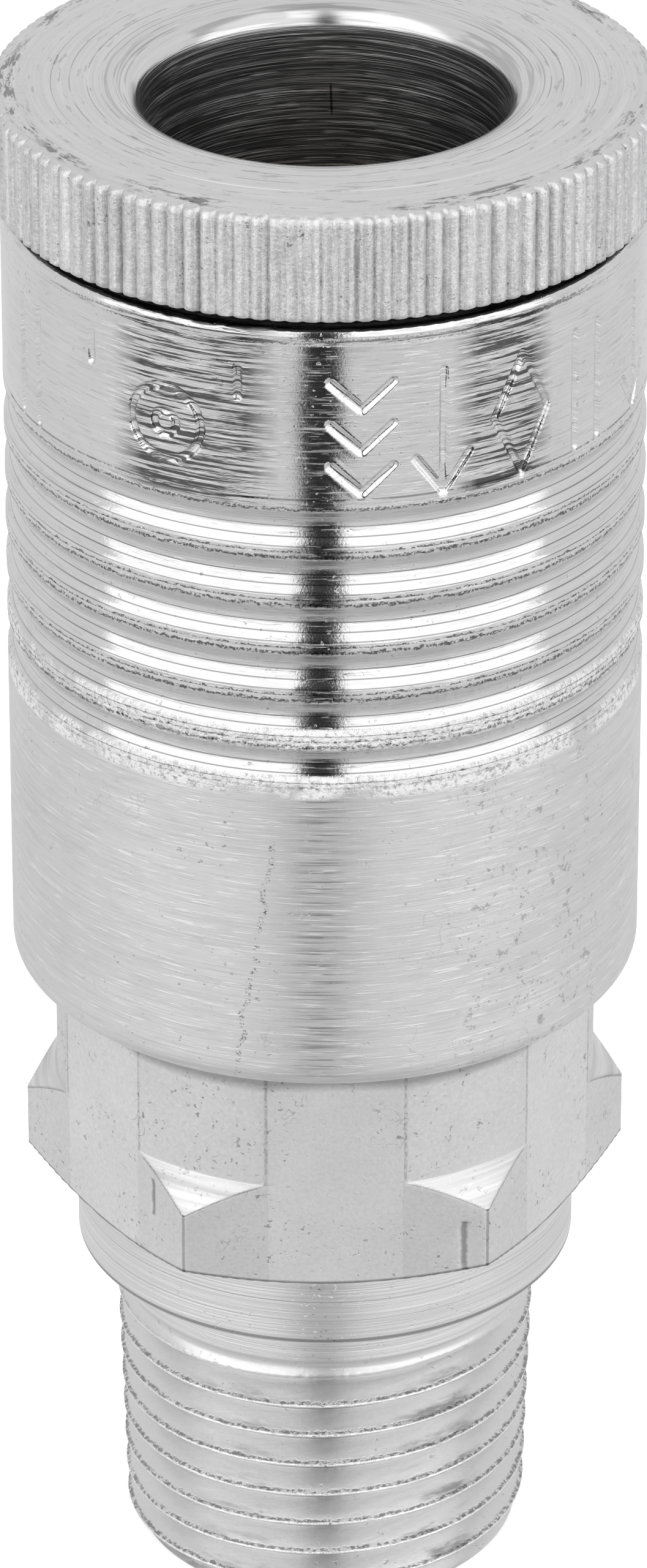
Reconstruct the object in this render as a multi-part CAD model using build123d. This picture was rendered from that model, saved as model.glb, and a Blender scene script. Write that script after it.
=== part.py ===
from build123d import *
import math
import os

# A push-to-connect air coupler, all sizes in millimetres. The axis is Z, the origin is the centre of
# the pipe thread's end face, and +Z points out of the mouth that takes the plug.

# Driving dimensions of the outside
LENGTH = 81.3
SLEEVE_R = 31.75 / 2
SLEEVE_BOTTOM = 33.8
SLEEVE_TOP = 75.25
BORE_R = 9.0
KNURL_R = 16.3
KNURL_DEPTH = 0.28
KNURL_TEETH = 120
RING_BOTTOM = 75.8
NECK_R = 13.75
HEX_ACROSS_FLATS = 26.6
HEX_CORNER_R = 15.3
HEX_BOTTOM = 21.15
COLLAR_R = 12.77
COLLAR_BOTTOM = 17.15

# Male taper pipe thread, 1/2-14: whole turns above the end face, then one turn that runs out
PITCH = 25.4 / 14
TAPER = 1 / 32
THREAD_END_R = 10.36
THREAD_DEPTH = 1.2
THREAD_TOP = 14.6
THREAD_TURNS = 7
PASSAGE_R = 6.75

# The sleeve's grip grooves: the lowest one, the distance to the next, and a groove's own section
GROOVE_COUNT = 6
GROOVE_Z = 52.0
GROOVE_PITCH = 2.56
GROOVE_DEPTH = 0.42
GROOVE_R = 1.1

# The lock: travel of the sleeve and of the balls, which it lets out at a constant rate
SLEEVE_TRAVEL = 6.0
BALL_TRAVEL = 1.05
BALL_COUNT = 6
BALL_R = 2.25
BALL_Z = 66.0
BALL_IN_BORE = 0.95
BALL_RELIEF_DEPTH = 0.2
BALL_RELIEF_HALF = 3.0
RUNNING = 0.08

# The barrel inside the sleeve, and the chamber of the sleeve's spring
BARREL_R = 12.0
BARREL_HEAD_R = 12.35
BARREL_HEAD_Z = 61.6
RING_SCREW_R = 13.3
SPIGOT_R = 14.65
SPIGOT_BOTTOM = 74.1
BARREL_BOTTOM = 34.0
ADAPTER_TOP = 44.0
GASKET_THICKNESS = 1.0
SHOULDER_Z = 61.5
WASHER_THICKNESS = 1.0
SLEEVE_BORE_R = NECK_R + RUNNING
SPRING_WIRE_R = 0.6
SPRING_MEAN_R = 12.95
SPRING_COILS = 6.5

# The plug seal, the valve seat and the ring that holds both in the barrel
POCKET_R = 10.5
POCKET_TOP = 59.8
PLUG_SEAL_HEIGHT = 2.6
SEAT_HEIGHT = 3.2
SEAT_BORE_R = 7.6
SEAT_CONE_R = 9.0
CLIP_THICKNESS = 1.0
CLIP_GROOVE_R = 11.2

# The valve: disc, seal, cap, stem, spring and the spider that guides the stem
DISC_R = 8.6
DISC_THICKNESS = 1.8
STEM_R = 2.2
STEM_END = 26.5
SPIDER_Z = 28.0
SPIDER_R = 8.85
SPIDER_HEIGHT = 3.0
SPIDER_HUB_R = 4.0
VALVE_WIRE_R = 0.5
VALVE_SPRING_R = 5.6
VALVE_COILS = 7


def turned(*outline):
    """A solid of revolution about Z from (radius, height) points."""
    return revolve(make_face(Polyline(*[(r, 0, z) for r, z in outline], close=True)), Axis.Z)


def ring(inner, outer, bottom, top):
    """A plain ring with a square section."""
    return turned((inner, bottom), (outer, bottom), (outer, top), (inner, top))


def lower_edge(outer_r, bottom, radius):
    """The quarter arc that rounds the lower outside edge of a turned piece."""
    inset = radius * (1 - math.sqrt(0.5))
    return ThreePointArc((outer_r - radius, 0, bottom), (outer_r - inset, 0, bottom + inset),
                         (outer_r, 0, bottom + radius))


def coil(mean_r, wire_r, bottom, top, turns):
    """A round-wire spring whose outermost wire touches the two heights given."""
    rise = top - bottom - 2 * wire_r
    path = Helix(rise / turns, rise, mean_r, center=(0, 0, bottom + wire_r))
    section = Plane(origin=path @ 0, z_dir=path % 0) * Circle(wire_r)
    return sweep(section, path=path, is_frenet=True)


def cut_thread(blank):
    """Cut the pipe thread's V groove turn by turn, a 60 degree section; the last turn winds outwards."""
    beyond_crest = 0.5
    half_width = (THREAD_DEPTH + beyond_crest) * math.tan(math.radians(30))
    for turn in range(-1, THREAD_TURNS + 1):
        start = turn * PITCH
        crest_r = THREAD_END_R + TAPER * start
        climb = TAPER if turn < THREAD_TURNS else THREAD_DEPTH / PITCH
        path = Helix(PITCH, 1.03 * PITCH, crest_r, center=(0, 0, start),
                     cone_angle=math.degrees(math.atan(climb)))
        section = Polyline((crest_r + beyond_crest, 0, start - half_width), (crest_r - THREAD_DEPTH, 0, start),
                           (crest_r + beyond_crest, 0, start + half_width), close=True)
        blank = blank - sweep(make_face(section), path=path, is_frenet=True)
    return blank


def lock_angles():
    return [360 / BALL_COUNT * index for index in range(BALL_COUNT)]


def radial(height, angle):
    """A plane at the axis, at a height, whose normal points outwards at an angle."""
    direction = (math.cos(math.radians(angle)), math.sin(math.radians(angle)), 0)
    return Plane(origin=(0, 0, height), z_dir=direction)


# Ball centres at rest, and the cone in the sleeve that lets the balls out as the sleeve is pulled
ball_centre_r = BORE_R - BALL_IN_BORE + BALL_R
cone_slope = BALL_TRAVEL / SLEEVE_TRAVEL
cone_r_at_ball = ball_centre_r + BALL_R / math.cos(math.atan(cone_slope)) + RUNNING
land_r = BARREL_HEAD_R + RUNNING
land_top = BALL_Z - (cone_r_at_ball - land_r) / cone_slope
mouth_step_z = SPIGOT_BOTTOM - 0.03
cone_top_r = cone_r_at_ball + cone_slope * (mouth_step_z - BALL_Z)


def rear_adapter():
    """Hexagon, neck, collar and male thread in one turned and milled piece, bored right through."""
    apothem = HEX_ACROSS_FLATS / 2
    chamfer_rise = (HEX_CORNER_R - apothem) * math.tan(math.radians(23))
    shoulder_z = 25.3
    neck_z = shoulder_z + HEX_CORNER_R - NECK_R + 0.1
    upper = turned((0, HEX_BOTTOM), (apothem, HEX_BOTTOM), (HEX_CORNER_R, HEX_BOTTOM + chamfer_rise),
                   (HEX_CORNER_R, shoulder_z), (NECK_R, neck_z), (NECK_R, ADAPTER_TOP), (0, ADAPTER_TOP))
    bar = Pos(0, 0, HEX_BOTTOM) * extrude(RegularPolygon(apothem, 6, major_radius=False),
                                          ADAPTER_TOP - HEX_BOTTOM)
    thread_top_r = THREAD_END_R + TAPER * THREAD_TOP
    end_chamfer = 0.6
    edge = 0.3
    outline = Polyline((0, 0, 0), (THREAD_END_R - end_chamfer, 0, 0),
                       (THREAD_END_R + TAPER * end_chamfer, 0, end_chamfer), (thread_top_r, 0, THREAD_TOP),
                       (thread_top_r, 0, COLLAR_BOTTOM), (COLLAR_R - edge, 0, COLLAR_BOTTOM))
    rounded = lower_edge(COLLAR_R, COLLAR_BOTTOM, edge)
    closing = Polyline((COLLAR_R, 0, COLLAR_BOTTOM + edge), (COLLAR_R, 0, HEX_BOTTOM), (0, 0, HEX_BOTTOM),
                       (0, 0, 0))
    lower = revolve(make_face(outline + rounded + closing), Axis.Z)
    counterbore_z = SPIDER_Z - 4
    ledge_r = SPIDER_R - 1
    gasket_z = BARREL_BOTTOM - GASKET_THICKNESS
    bore = turned((0, -1), (PASSAGE_R, -1), (PASSAGE_R, counterbore_z - (ledge_r - PASSAGE_R)),
                  (ledge_r, counterbore_z), (ledge_r, SPIDER_Z), (SPIDER_R, SPIDER_Z), (SPIDER_R, gasket_z),
                  (BARREL_R, gasket_z), (BARREL_R, ADAPTER_TOP + 1), (0, ADAPTER_TOP + 1))
    return (upper & bar) + cut_thread(lower) - bore


def front_barrel():
    """The tube that takes the plug: head with the ball holes, pocket for the seals, screwed rear end."""
    rim = 1.2
    lip = 1.25
    relief = 0.5
    relief_r = BORE_R + BALL_RELIEF_DEPTH
    seat_z = POCKET_TOP - PLUG_SEAL_HEIGHT - SEAT_HEIGHT
    clip_z = seat_z - CLIP_THICKNESS
    tube = turned((POCKET_R, BARREL_BOTTOM), (BARREL_R - relief, BARREL_BOTTOM),
                  (BARREL_R, BARREL_BOTTOM + relief), (BARREL_R, BARREL_HEAD_Z),
                  (BARREL_HEAD_R, BARREL_HEAD_Z), (BARREL_HEAD_R, SPIGOT_BOTTOM),
                  (RING_SCREW_R, SPIGOT_BOTTOM), (RING_SCREW_R, LENGTH), (BORE_R + lip, LENGTH),
                  (BORE_R + 0.35, LENGTH - 0.35), (BORE_R, LENGTH - rim),
                  (BORE_R, BALL_Z + BALL_RELIEF_HALF), (relief_r, BALL_Z + BALL_RELIEF_HALF - 0.2),
                  (relief_r, BALL_Z - BALL_RELIEF_HALF + 0.2), (BORE_R, BALL_Z - BALL_RELIEF_HALF),
                  (BORE_R, POCKET_TOP), (POCKET_R, POCKET_TOP), (POCKET_R, seat_z),
                  (CLIP_GROOVE_R, seat_z), (CLIP_GROOVE_R, clip_z), (POCKET_R, clip_z))
    hole_r = BALL_R + RUNNING
    seat_r = 1.98
    for angle in lock_angles():
        plane = radial(BALL_Z, angle)
        neck = plane * Pos(0, 0, BORE_R - 1) * Cylinder(seat_r, 4, align=(Align.CENTER,) * 2 + (Align.MIN,))
        taper = plane * Pos(0, 0, BORE_R) * Cone(seat_r, hole_r, 1, align=(Align.CENTER,) * 2 + (Align.MIN,))
        body = plane * Pos(0, 0, BORE_R + 1) * Cylinder(hole_r, 4, align=(Align.CENTER,) * 2 + (Align.MIN,))
        tube = tube - neck - taper - body
    return tube


def nose_ring():
    """The knurled ring on the barrel's front end; its spigot is the sleeve's forward stop."""
    edge_in = 0.8
    edge_down = 0.4
    blank = turned((RING_SCREW_R, SPIGOT_BOTTOM), (SPIGOT_R, SPIGOT_BOTTOM), (SPIGOT_R, RING_BOTTOM),
                   (KNURL_R - edge_down, RING_BOTTOM), (KNURL_R, RING_BOTTOM + edge_down / 2),
                   (KNURL_R, LENGTH - edge_down), (KNURL_R - edge_in, LENGTH), (RING_SCREW_R, LENGTH))
    step = 2 * math.pi / KNURL_TEETH
    points = []
    for tooth in range(KNURL_TEETH):
        for offset, radius in ((-0.12, KNURL_R), (0.12, KNURL_R), (0.5, KNURL_R - KNURL_DEPTH)):
            angle = (tooth + offset) * step
            points.append((radius * math.cos(angle), radius * math.sin(angle)))
    toothed = Pos(0, 0, SPIGOT_BOTTOM) * extrude(make_face(Polyline(*points, close=True)),
                                                 LENGTH - SPIGOT_BOTTOM)
    return blank & toothed


def release_sleeve():
    """The sliding sleeve: plain band, grip grooves and rear skirt outside, ball cone inside."""
    skirt_edge = 1.15
    top_edge = 0.35
    lead = 0.5
    outer = Polyline((SLEEVE_BORE_R + lead, 0, SLEEVE_BOTTOM), (SLEEVE_R - skirt_edge, 0, SLEEVE_BOTTOM))
    corner = lower_edge(SLEEVE_R, SLEEVE_BOTTOM, skirt_edge)
    rest = Polyline((SLEEVE_R, 0, SLEEVE_BOTTOM + skirt_edge), (SLEEVE_R, 0, SLEEVE_TOP - top_edge),
                    (SLEEVE_R - top_edge, 0, SLEEVE_TOP), (SPIGOT_R + RUNNING, 0, SLEEVE_TOP),
                    (SPIGOT_R + RUNNING, 0, mouth_step_z), (cone_top_r, 0, mouth_step_z),
                    (land_r, 0, land_top), (land_r, 0, SHOULDER_Z), (SLEEVE_BORE_R, 0, SHOULDER_Z),
                    (SLEEVE_BORE_R, 0, SLEEVE_BOTTOM + lead), (SLEEVE_BORE_R + lead, 0, SLEEVE_BOTTOM))
    sleeve = revolve(make_face(outer + corner + rest), Axis.Z)
    groove_ring_r = SLEEVE_R - GROOVE_DEPTH + GROOVE_R
    for index in range(GROOVE_COUNT):
        sleeve -= Pos(0, 0, GROOVE_Z + GROOVE_PITCH * index) * Torus(groove_ring_r, GROOVE_R)
    return sleeve


def valve_poppet():
    """The valve's disc and stem in one turned piece."""
    disc_top = valve_seal_bottom
    disc_bottom = disc_top - DISC_THICKNESS
    collar = 3.6
    return turned((0, STEM_END), (STEM_R - 0.4, STEM_END), (STEM_R, STEM_END + 0.4), (STEM_R, disc_bottom - 1),
                  (collar, disc_bottom - 1), (collar, disc_bottom), (DISC_R, disc_bottom), (DISC_R, disc_top),
                  (0, disc_top))


def valve_seal():
    """The rubber ring on the disc, with the cone that shuts on the seat."""
    gap = 0.06
    cone_foot = seat_bottom + SEAT_CONE_R - DISC_R - gap
    return turned((CAP_SPIGOT_R, valve_seal_bottom), (DISC_R, valve_seal_bottom), (DISC_R, cone_foot),
                  (DISC_R - (valve_seal_top - cone_foot), valve_seal_top), (CAP_SPIGOT_R, valve_seal_top))


def valve_cap():
    """The brass cap that clamps the seal; the plug's nose pushes on its crown, air leaves its slots."""
    flange_r = 6.6
    crown_r = 5.0
    crown_bore_r = 3.4
    crown_top = valve_seal_top + 4.0
    flange_top = valve_seal_top + 0.9
    cap = turned((0, valve_seal_bottom), (CAP_SPIGOT_R, valve_seal_bottom), (CAP_SPIGOT_R, valve_seal_top),
                 (flange_r, valve_seal_top), (flange_r, flange_top), (crown_r, flange_top),
                 (crown_r, crown_top), (crown_bore_r, crown_top), (crown_bore_r, flange_top), (0, flange_top))
    slot_height = crown_top - flange_top
    for angle in (0, 90):
        cap -= Pos(0, 0, flange_top + slot_height / 2 + 0.5) * Rot(0, 0, angle) * Box(12, 2.4, slot_height)
    return cap


def valve_guide():
    """The spider in the adapter: a rim, a hub with the stem's bore, and three legs between them."""
    top = SPIDER_Z + SPIDER_HEIGHT
    rim = ring(SPIDER_R - 1.4, SPIDER_R, SPIDER_Z, top)
    hub = ring(STEM_R + RUNNING, SPIDER_HUB_R, SPIDER_Z - 1, top)
    leg_length = SPIDER_R - 0.7 - (SPIDER_HUB_R - 0.6)
    legs = [Rot(0, 0, 120 * index) * Pos(SPIDER_HUB_R - 0.6 + leg_length / 2, 0, SPIDER_Z + 0.75)
            * Box(leg_length, 2.0, 1.5) for index in range(3)]
    plate = ring(SPIDER_HUB_R - 0.6, SPIDER_HUB_R + 2.2, SPIDER_Z, top)
    return rim + hub + legs + plate - ring(SPIDER_HUB_R + 2.2, SPIDER_R - 1.4, SPIDER_Z + 1.5, top)


def plug_seal():
    """The lip ring that grips the plug's nose: square back, groove in its lower face, inner lip."""
    bottom = POCKET_TOP - PLUG_SEAL_HEIGHT
    lip_r = 8.55
    return turned((POCKET_R, bottom), (POCKET_R, POCKET_TOP), (BORE_R, POCKET_TOP), (lip_r, bottom + 0.9),
                  (lip_r, bottom), (9.3, bottom), (9.55, bottom + 1.1), (9.8, bottom))


def valve_seat():
    """The steel ring between the plug seal and the clip; its lower cone is the valve's seat."""
    top = seat_bottom + SEAT_HEIGHT
    return turned((SEAT_CONE_R, seat_bottom), (POCKET_R, seat_bottom), (POCKET_R, top), (SEAT_BORE_R, top),
                  (SEAT_BORE_R, seat_bottom + SEAT_CONE_R - SEAT_BORE_R))


def seat_clip():
    """The open spring ring in the barrel's groove."""
    clip = ring(9.7, CLIP_GROOVE_R - 0.05, seat_bottom - CLIP_THICKNESS, seat_bottom)
    return clip - Pos(10, 0, seat_bottom) * Box(6, 4.5, 4)


# Heights along the valve, from the seat down
CAP_SPIGOT_R = 3.0
seat_bottom = POCKET_TOP - PLUG_SEAL_HEIGHT - SEAT_HEIGHT
valve_seal_top = seat_bottom + 1.5
valve_seal_bottom = seat_bottom - 2.4
washer_bottom = SHOULDER_Z - WASHER_THICKNESS

pieces = {
    "rear_adapter": rear_adapter(),
    "front_barrel": front_barrel(),
    "nose_ring": nose_ring(),
    "release_sleeve": release_sleeve(),
    "spring_washer": ring(BARREL_R + RUNNING, SLEEVE_BORE_R - RUNNING, washer_bottom, SHOULDER_Z),
    "sleeve_spring": coil(SPRING_MEAN_R, SPRING_WIRE_R, ADAPTER_TOP, washer_bottom, SPRING_COILS),
    "barrel_gasket": ring(POCKET_R, BARREL_R, BARREL_BOTTOM - GASKET_THICKNESS, BARREL_BOTTOM),
    "plug_seal": plug_seal(),
    "valve_seat": valve_seat(),
    "seat_clip": seat_clip(),
    "valve_poppet": valve_poppet(),
    "valve_seal": valve_seal(),
    "valve_cap": valve_cap(),
    "valve_guide": valve_guide(),
    "valve_spring": coil(VALVE_SPRING_R, VALVE_WIRE_R, SPIDER_Z + SPIDER_HEIGHT,
                         valve_seal_bottom - DISC_THICKNESS, VALVE_COILS),
}
for number, angle in enumerate(lock_angles(), start=1):
    pieces[f"lock_ball_{number}"] = radial(BALL_Z, angle) * Pos(0, 0, ball_centre_r) * Sphere(BALL_R)

os.makedirs("parts", exist_ok=True)
for name, piece in pieces.items():
    export_step(piece, f"parts/{name}.step")
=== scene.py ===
import math

import bmesh
import bpy
import numpy as np
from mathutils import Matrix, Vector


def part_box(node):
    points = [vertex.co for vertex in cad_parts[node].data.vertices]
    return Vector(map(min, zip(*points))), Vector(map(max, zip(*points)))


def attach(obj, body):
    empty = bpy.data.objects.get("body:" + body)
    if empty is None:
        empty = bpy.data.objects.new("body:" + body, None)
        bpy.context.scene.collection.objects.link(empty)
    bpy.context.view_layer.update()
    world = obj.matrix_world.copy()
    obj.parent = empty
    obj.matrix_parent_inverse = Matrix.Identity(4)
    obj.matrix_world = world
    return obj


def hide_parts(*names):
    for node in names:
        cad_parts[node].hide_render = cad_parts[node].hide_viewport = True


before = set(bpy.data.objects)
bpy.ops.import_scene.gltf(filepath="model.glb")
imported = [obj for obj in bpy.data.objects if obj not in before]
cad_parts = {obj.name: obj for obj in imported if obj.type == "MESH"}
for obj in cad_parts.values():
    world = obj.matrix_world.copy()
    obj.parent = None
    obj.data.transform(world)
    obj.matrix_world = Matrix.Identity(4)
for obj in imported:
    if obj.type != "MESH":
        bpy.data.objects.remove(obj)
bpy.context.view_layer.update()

# Sizes below are in millimetres, and heights are above the thread's end face, unless MM says so.
MM = 0.001


# ---------------------------------------------------------------------------------------------
# Studio: a pale floor under the thread end, a long lens looking 28 degrees down at the coupler,
# and a soft white surround with two tall light panels left and right of a dark gap in front.
# ---------------------------------------------------------------------------------------------
AIM = (-0.08 * MM, 0.0, 42.55 * MM)
CAMERA_DISTANCE = 440.2 * MM
CAMERA_AZIMUTH = math.radians(-2.3)
CAMERA_ELEVATION = math.radians(28.183)
CAMERA_LENS = 200.2

camera_data = bpy.data.cameras.new("camera")
camera_data.lens = CAMERA_LENS
camera_data.sensor_width = 36.0
camera_data.clip_start = 0.01
camera = bpy.data.objects.new("camera", camera_data)
bpy.context.scene.collection.objects.link(camera)
reach = CAMERA_DISTANCE * math.cos(CAMERA_ELEVATION)
camera.location = (
    AIM[0] + reach * math.sin(CAMERA_AZIMUTH),
    AIM[1] - reach * math.cos(CAMERA_AZIMUTH),
    AIM[2] + CAMERA_DISTANCE * math.sin(CAMERA_ELEVATION),
)
camera.rotation_euler = (math.pi / 2 - CAMERA_ELEVATION, 0.0, CAMERA_AZIMUTH)
bpy.context.scene.camera = camera
bpy.context.scene.view_settings.view_transform = "Standard"


class Wire:
    """One socket's value; arithmetic on it adds Math nodes to the same node tree."""

    def __init__(self, tree, socket):
        self.tree = tree
        self.socket = socket

    def combine(self, operation, *values):
        """A Math node on these values, in this order."""
        node = self.tree.nodes.new("ShaderNodeMath")
        node.operation = operation
        for slot, value in zip(node.inputs, values):
            plug(self.tree, slot, value)
        return Wire(self.tree, node.outputs[0])

    def math(self, operation, *others):
        return self.combine(operation, self, *others)

    def __add__(self, other):
        return self.math("ADD", other)

    def __radd__(self, other):
        return self.math("ADD", other)

    def __sub__(self, other):
        return self.math("SUBTRACT", other)

    def __rsub__(self, other):
        return self.combine("SUBTRACT", other, self)

    def __mul__(self, other):
        return self.math("MULTIPLY", other)

    def __rmul__(self, other):
        return self.math("MULTIPLY", other)

    def __truediv__(self, other):
        return self.math("DIVIDE", other)

    def __lt__(self, other):
        return self.math("LESS_THAN", other)

    def __gt__(self, other):
        return self.math("GREATER_THAN", other)

    def __abs__(self):
        return self.math("ABSOLUTE")


def plug(tree, slot, value):
    """Links a Wire to a socket, or sets the socket's own value."""
    if isinstance(value, Wire):
        tree.links.new(value.socket, slot)
    else:
        slot.default_value = value


class Bench:
    """A node tree being written, with one method that adds any node."""

    def __init__(self, tree):
        self.tree = tree
        tree.nodes.clear()

    def node(self, kind, settings=None, inputs=None, output=0):
        node = self.tree.nodes.new("ShaderNode" + kind)
        for name, value in (settings or {}).items():
            setattr(node, name, value)
        for name, value in (inputs or {}).items():
            plug(self.tree, node.inputs[name], value)
        return Wire(self.tree, node.outputs[output])

    def place(self):
        """The point being shaded, in the piece's own coordinates, as x, y, z in millimetres."""
        point = self.node("TexCoord", output="Object")
        return [axis * (1 / MM) for axis in self.split(point)]

    def split(self, vector):
        return [self.node("SeparateXYZ", inputs={"Vector": vector}, output=axis) for axis in range(3)]

    def vector(self, x, y, z):
        return self.node("CombineXYZ", inputs={"X": x, "Y": y, "Z": z})

    def noise(self, point, scale, detail=3.0, rough=0.55):
        return self.node("TexNoise", inputs={"Vector": point, "Scale": scale, "Detail": detail,
                                             "Roughness": rough})

    def ramp(self, value, low, high, start=0.0, end=1.0):
        """A straight climb from start to end while the value goes from low to high, held outside."""
        return self.node("MapRange", {"clamp": True}, {
            "Value": value, "From Min": low, "From Max": high, "To Min": start, "To Max": end})

    def between(self, value, low, high, soft):
        """1 where the value lies between low and high, falling off softly outside."""
        return self.ramp(value, low - soft, low) * self.ramp(value, high, high + soft, 1.0, 0.0)

    def line(self, value, centre, width):
        """1 on a line at the centre, gone at half the width on either side."""
        return self.ramp(abs(value - centre), width * 0.2, width * 0.5, 1.0, 0.0)

    def mix(self, factor, first, second):
        return self.node("Mix", {"data_type": "RGBA"}, {0: factor, 6: first, 7: second}, output=2)

    def grey(self, value):
        return self.node("CombineColor", inputs={0: value, 1: value, 2: value})

    def surface(self, shader, kind="OutputMaterial"):
        output = self.tree.nodes.new("ShaderNode" + kind)
        self.tree.links.new(shader.socket, output.inputs["Surface"])


# The surround, as brightness by direction: azimuth 0 is the camera's side, elevation is above the
# horizon, both in degrees. Dull surfaces see an even DAYLIGHT_LEVEL instead.
GAP = (-8.5, 5.5)
LIGHT_EDGE = 81.0
LIGHT_FROM, LIGHT_TO = -14.0, 73.0
LIGHT_LEVEL = 1.30
ROOM_LEVEL = 0.72
ZENITH_LEVEL = 0.54
BELOW_LEVEL = 0.52
GAP_LEVEL = 0.015
DAYLIGHT_LEVEL = 1.05


def make_surround():
    world = bpy.data.worlds.new("studio")
    bpy.context.scene.world = world
    world.use_nodes = True
    bench = Bench(world.node_tree)
    direction = bench.node("TexCoord", output="Generated")
    x, y, z = bench.split(direction)
    azimuth = x.math("ARCTAN2", y * -1.0) * math.degrees(1) - math.degrees(CAMERA_AZIMUTH)
    elevation = z.math("ARCSINE") * math.degrees(1)
    aside = abs(azimuth)
    level = ROOM_LEVEL + bench.ramp(elevation, 74, 84) * (ZENITH_LEVEL - ROOM_LEVEL)
    level = level + bench.ramp(elevation, -62, -42, 1.0, 0.0) * (BELOW_LEVEL - ROOM_LEVEL)
    light = bench.between(aside, 0, LIGHT_EDGE, 1.5)
    light = light * bench.between(elevation, LIGHT_FROM, LIGHT_TO, 2.5)
    level = level * (1.0 - light) + light * LIGHT_LEVEL
    edge = bench.line(elevation, LIGHT_FROM - 4.0, 5.0) * bench.between(aside, 0, 76, 8)
    level = level * (1.0 - edge * 0.45)
    gap = bench.between(azimuth, GAP[0], GAP[1], 1.0) * bench.between(elevation, -56, 76, 6)
    level = level * (1.0 - gap) + gap * GAP_LEVEL
    glossy = bench.node("LightPath", output="Is Glossy Ray")
    level = level * glossy + (1.0 - glossy) * DAYLIGHT_LEVEL
    background = bench.node("Background", inputs={"Color": bench.grey(level), "Strength": 1.0})
    bench.surface(background, "OutputWorld")


def make_floor():
    mesh = bpy.data.meshes.new("floor")
    half = 3.0
    corners = [(-half, -half, 0), (half, -half, 0), (half, half, 0), (-half, half, 0)]
    mesh.from_pydata(corners, [], [(0, 1, 2, 3)])
    floor = bpy.data.objects.new("floor", mesh)
    bpy.context.scene.collection.objects.link(floor)
    floor.location.z = -0.02 * MM
    floor.visible_glossy = False
    floor.visible_shadow = False
    paint = bpy.data.materials.new("floor_paint")
    paint.use_nodes = True
    shader = paint.node_tree.nodes["Principled BSDF"]
    shader.inputs["Base Color"].default_value = (0.94, 0.94, 0.94, 1)
    shader.inputs["Roughness"].default_value = 0.9
    shader.inputs["Specular IOR Level"].default_value = 0.1
    shader.inputs["Emission Color"].default_value = (1, 1, 1, 1)
    shader.inputs["Emission Strength"].default_value = 0.35
    mesh.materials.append(paint)


def make_key_light():
    lamp = bpy.data.lights.new("key", "AREA")
    lamp.energy = 2.4
    lamp.size = 0.5
    light = bpy.data.objects.new("key", lamp)
    bpy.context.scene.collection.objects.link(light)
    light.location = (-0.15, -0.25, 0.75)
    light.rotation_euler = (math.radians(18), math.radians(-11), 0)
    light.visible_glossy = False


make_surround()
make_floor()
make_key_light()


# ---------------------------------------------------------------------------------------------
# Release sleeve: 1-1/4 in steel bar, turned, bored and zinc plated. Six rolled grip grooves, a
# bright band with stamped marks above them and a satin band below. It slides back to unlock.
# Two turned grids, one below and one above a joint that lies flush above the top groove.
# ---------------------------------------------------------------------------------------------
sleeve_low, sleeve_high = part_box("release_sleeve")
sleeve_r = sleeve_high.x / MM
sleeve_bottom = sleeve_low.z / MM
sleeve_top = sleeve_high.z / MM
SLEEVE_WALL = 2.045
BOTTOM_ROUNDING = 1.15
TOP_ROUNDING = 0.35
SHOULDER_Z = sleeve_bottom + 27.7
LAND_R = 12.43
LAND_TOP = 64.66
CONE_SLOPE = 0.175
CONE_R_AT_BALL = 12.664
BALL_Z = 66.0
MOUTH_R = 14.73
MOUTH_DEPTH = 1.18
GROOVE_LOWEST = sleeve_bottom + 18.2
GROOVE_PITCH = 2.56
GROOVE_COUNT = 6
GROOVE_DEPTH = 0.42
GROOVE_HALF = 0.95
JOINT_Z = sleeve_bottom + 32.15


def add_piece(name, mesh, sharp):
    """An object with this mesh, shaded smooth except at edges sharper than an angle in degrees."""
    mesh.shade_smooth()
    mesh.set_sharp_from_angle(angle=math.radians(sharp))
    piece = bpy.data.objects.new(name, mesh)
    bpy.context.scene.collection.objects.link(piece)
    return piece


def cylinder_points(radius, height, angle):
    """Mesh points from arrays of radius and height in millimetres and of angle."""
    points = np.stack([radius * np.cos(angle) * MM, radius * np.sin(angle) * MM, height * MM], axis=-1)
    return points.reshape(-1, 3)


def lay_grid(name, radius, height, angle, loop=True, sharp=32):
    """A mesh of rings: radius, height and angle are arrays, one row a ring, in millimetres."""
    rows, columns = radius.shape
    points = cylinder_points(radius, height, angle)
    row = np.arange(rows if loop else rows - 1)[:, None]
    column = np.arange(columns)[None, :]
    above = (row + 1) % rows
    beside = (column + 1) % columns
    quads = np.stack([row * columns + column, row * columns + beside,
                      above * columns + beside, above * columns + column], axis=-1).reshape(-1, 4)
    mesh = bpy.data.meshes.new(name)
    mesh.vertices.add(len(points))
    mesh.vertices.foreach_set("co", points.ravel())
    mesh.loops.add(len(quads) * 4)
    mesh.loops.foreach_set("vertex_index", quads.ravel())
    mesh.polygons.add(len(quads))
    mesh.polygons.foreach_set("loop_start", np.arange(len(quads)) * 4)
    mesh.update(calc_edges=True)
    mesh.validate()
    return add_piece(name, mesh, sharp)


def spin(profile, angle):
    """Radius and height arrays for a profile of (radius, height) points carried round the axis."""
    rows = np.array(profile)
    columns = angle.shape[1]
    return np.repeat(rows[:, :1], columns, axis=1), np.repeat(rows[:, 1:], columns, axis=1)


def ring_angles(count):
    return np.linspace(0, 2 * math.pi, count, endpoint=False)[None, :]


def arc_rows(centre_r, centre_z, radius, start, end, steps):
    """Points (radius, height) along an arc in the turning plane, angles in degrees from outwards."""
    turn = np.radians(np.linspace(start, end, steps))
    return [(centre_r + radius * math.cos(t), centre_z + radius * math.sin(t)) for t in turn]


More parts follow.
